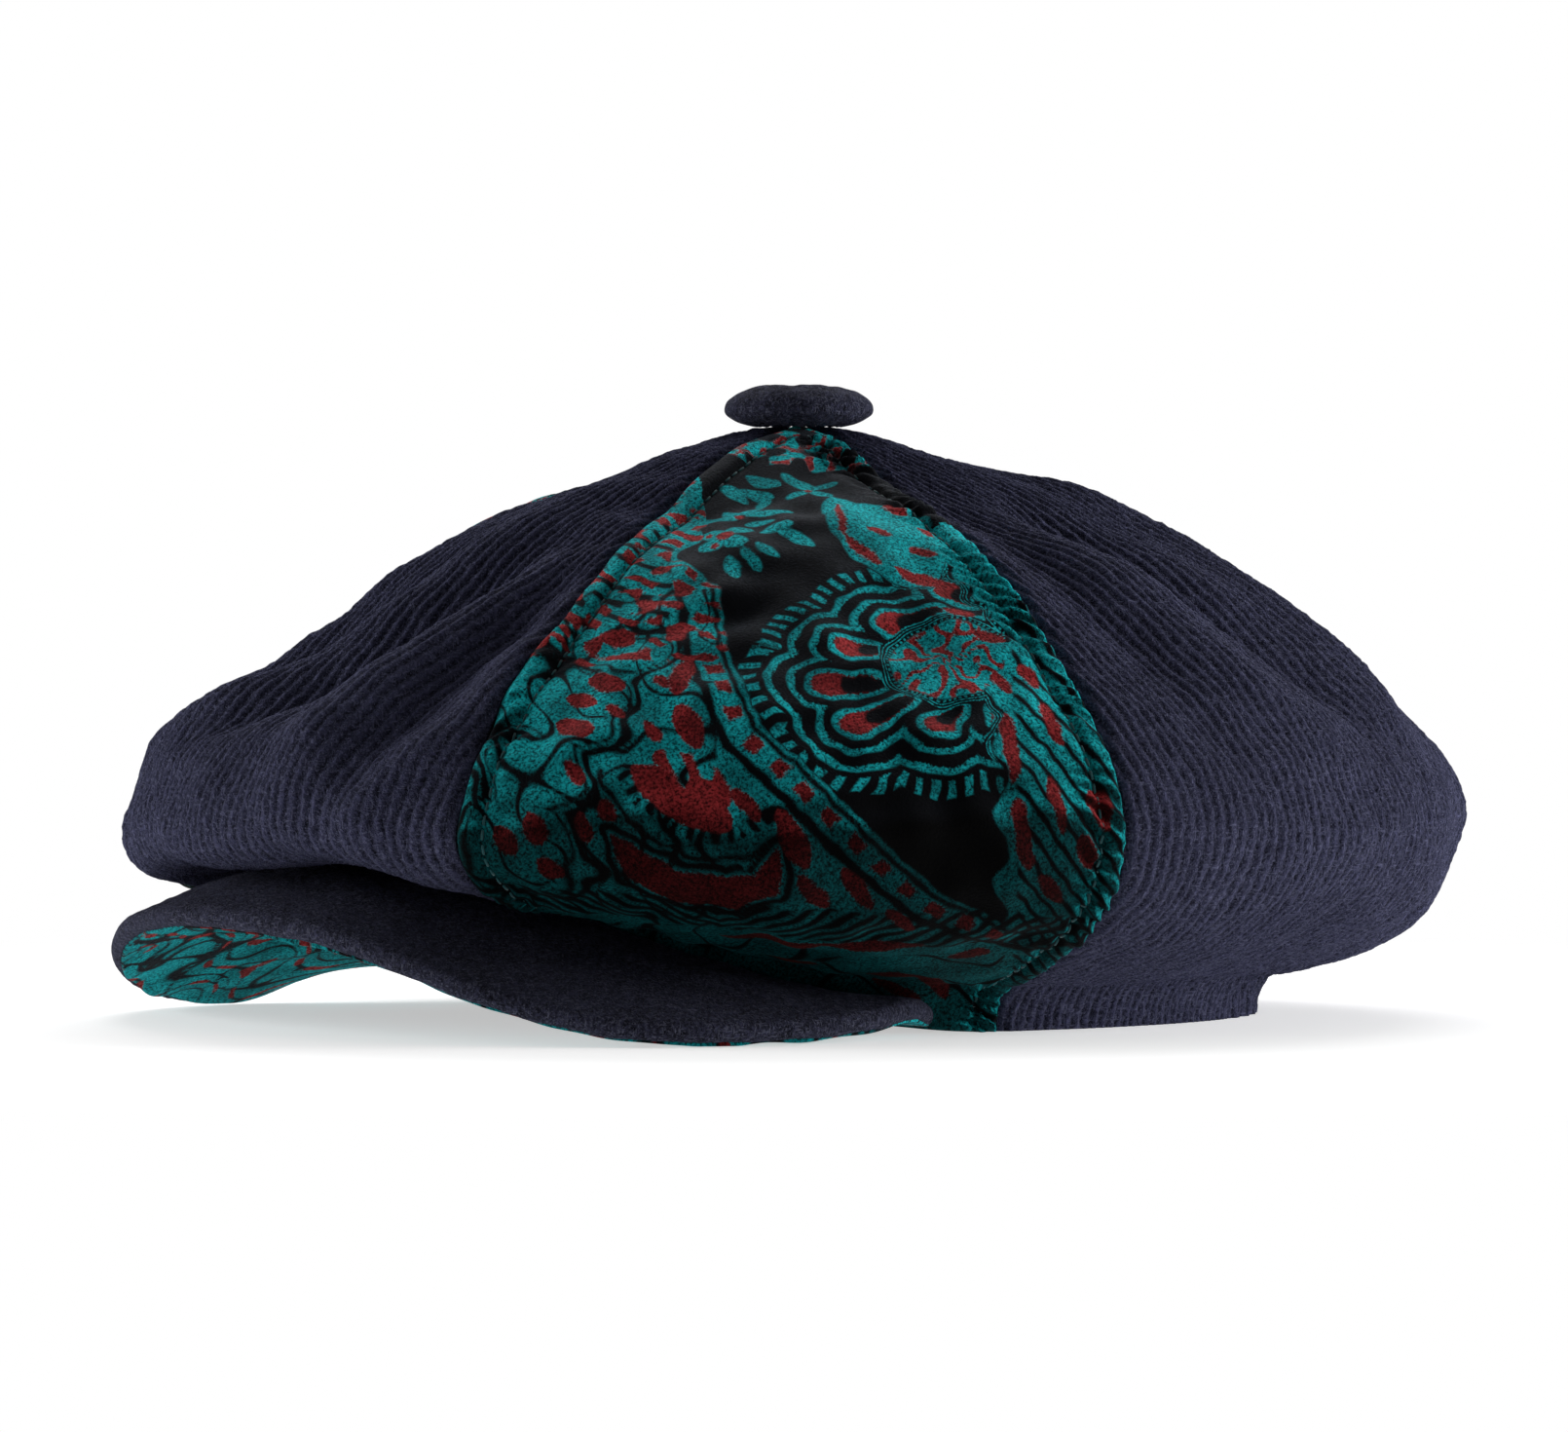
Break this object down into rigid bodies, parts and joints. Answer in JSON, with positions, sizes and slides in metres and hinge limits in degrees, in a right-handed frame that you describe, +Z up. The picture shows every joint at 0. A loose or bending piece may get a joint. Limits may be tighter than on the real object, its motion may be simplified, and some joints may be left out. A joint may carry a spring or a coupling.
{
  "type": "newsboy cap",
  "caption": "Full soft newsboy cap: panelled oval crown gathered to a covered top button, low stand, arched stiffened visor and lined inside.",
  "frame": {"origin": "centre of the head opening, on the plane that the rear edge of the opening rests on", "axes": "+Z up through the top button, -Y forwards over the visor, +X to the wearer's left"},
  "size_m": [0.2722, 0.3, 0.1366],
  "materials": {
    "ribbed_wool": "navy ribbed wool, matt and slightly brushed",
    "patterned_velvet": "printed velvet, black ground with teal and brick red figures",
    "felted_wool": "dark navy felted wool, matt",
    "lining_satin": "black satin lining, soft sheen",
    "sweatband_tape": "dark woven sweatband tape",
    "stay_cotton": "undyed cotton stay tape",
    "elastic_webbing": "black knitted elastic",
    "label_satin": "plain woven label, no lettering",
    "visor_plastic": "moulded polyethylene board",
    "button_metal": "pressed aluminium",
    "thread": "spun polyester thread"
  },
  "bodies": {
    "crown": {"crown_panel_front": "ribbed_wool", "crown_panel_side_left": "patterned_velvet", "crown_panel_rear_left": "ribbed_wool", "crown_panel_rear": "ribbed_wool", "crown_panel_rear_right": "ribbed_wool", "crown_panel_side_right": "patterned_velvet", "lining_panel_front": "lining_satin", "lining_panel_side_left": "lining_satin", "lining_panel_rear_left": "lining_satin", "lining_panel_rear": "lining_satin", "lining_panel_rear_right": "lining_satin", "lining_panel_side_right": "lining_satin", "crown_patch": "lining_satin", "sweatband": "sweatband_tape", "stay_tape": "stay_cotton", "rear_elastic": "elastic_webbing", "inner_label": "label_satin", "topstitching": "thread"},
    "visor": {"visor_top_cover": "felted_wool", "visor_board": "visor_plastic", "visor_under_cover": "patterned_velvet"},
    "button": {"button_cover": "felted_wool", "button_core": "button_metal", "button_back_plate": "button_metal", "button_shank": "thread"}
  },
  "joints": [
    {"name": "visor_flex", "type": "hinge", "parent": "crown", "child": "visor", "pos_m": [0, -0.018, 0.003], "axis": [1, 0, 0], "range_deg": [0, 12]},
    {"name": "button_swivel", "type": "hinge", "parent": "crown", "child": "button", "pos_m": [0, 0, 0.127], "axis": [0, 0, 1], "range_deg": [-30, 30]}
  ]
}
